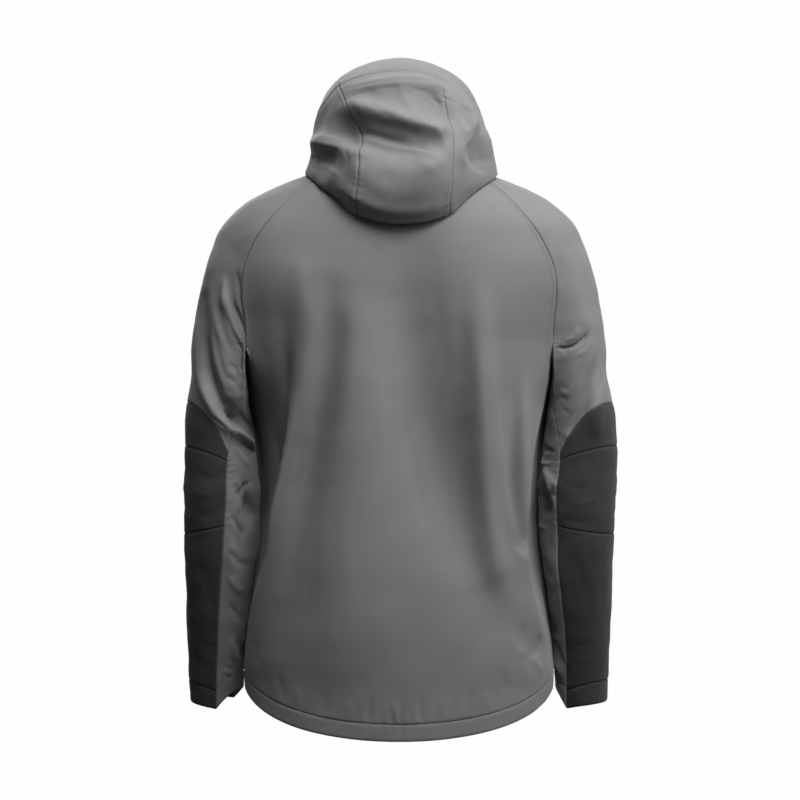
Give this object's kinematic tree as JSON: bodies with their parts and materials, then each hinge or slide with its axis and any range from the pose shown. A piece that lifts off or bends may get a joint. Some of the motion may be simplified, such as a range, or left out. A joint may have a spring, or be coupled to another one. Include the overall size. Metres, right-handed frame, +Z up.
{
  "type": "hooded softshell jacket",
  "caption": "Hooded raglan softshell jacket, hollow as if worn, with dark forearm panels, drop tail, standing collar and a front zip with a swinging pull tab.",
  "frame": {"origin": "middle of the neck's base, where the wearer's shoulders carry the jacket", "axes": "+Z up, front towards -Y, the wearer's left towards +X"},
  "size_m": [0.5962, 0.2795, 0.9277],
  "materials": {
    "grey_softshell": "smooth bonded softshell, mid grey, soft sheen",
    "dark_softshell": "near-black woven softshell, matt",
    "zip_tape": "black zip chain and tape",
    "zip_moulding": "moulded black box and pin",
    "zip_metal": "die-cast metal, black lacquer"
  },
  "bodies": {
    "garment": {"back_panel": "grey_softshell", "front_left": "grey_softshell", "front_right": "grey_softshell", "hem_band": "grey_softshell", "collar": "grey_softshell", "sleeve_top_left": "grey_softshell", "sleeve_top_right": "grey_softshell", "sleeve_under_left": "grey_softshell", "sleeve_under_right": "grey_softshell", "hood_side_left": "grey_softshell", "hood_middle": "grey_softshell", "hood_side_right": "grey_softshell", "hood_brim": "grey_softshell", "arm_panel_left": "dark_softshell", "arm_panel_right": "dark_softshell", "elbow_patch_left": "dark_softshell", "elbow_patch_right": "dark_softshell", "forearm_panel_left": "dark_softshell", "forearm_panel_right": "dark_softshell", "cuff_left": "dark_softshell", "cuff_right": "dark_softshell", "zip_chain": "zip_tape", "zip_box": "zip_moulding", "zip_slider": "zip_metal"},
    "pull_tab": {"pull_tab": "zip_metal"}
  },
  "joints": [
    {"name": "pull_tab_swing", "type": "hinge", "parent": "garment", "child": "pull_tab", "pos_m": [0, -0.08887, 0.02154], "axis": [-1, 0, 0], "range_deg": [0, 165]}
  ]
}
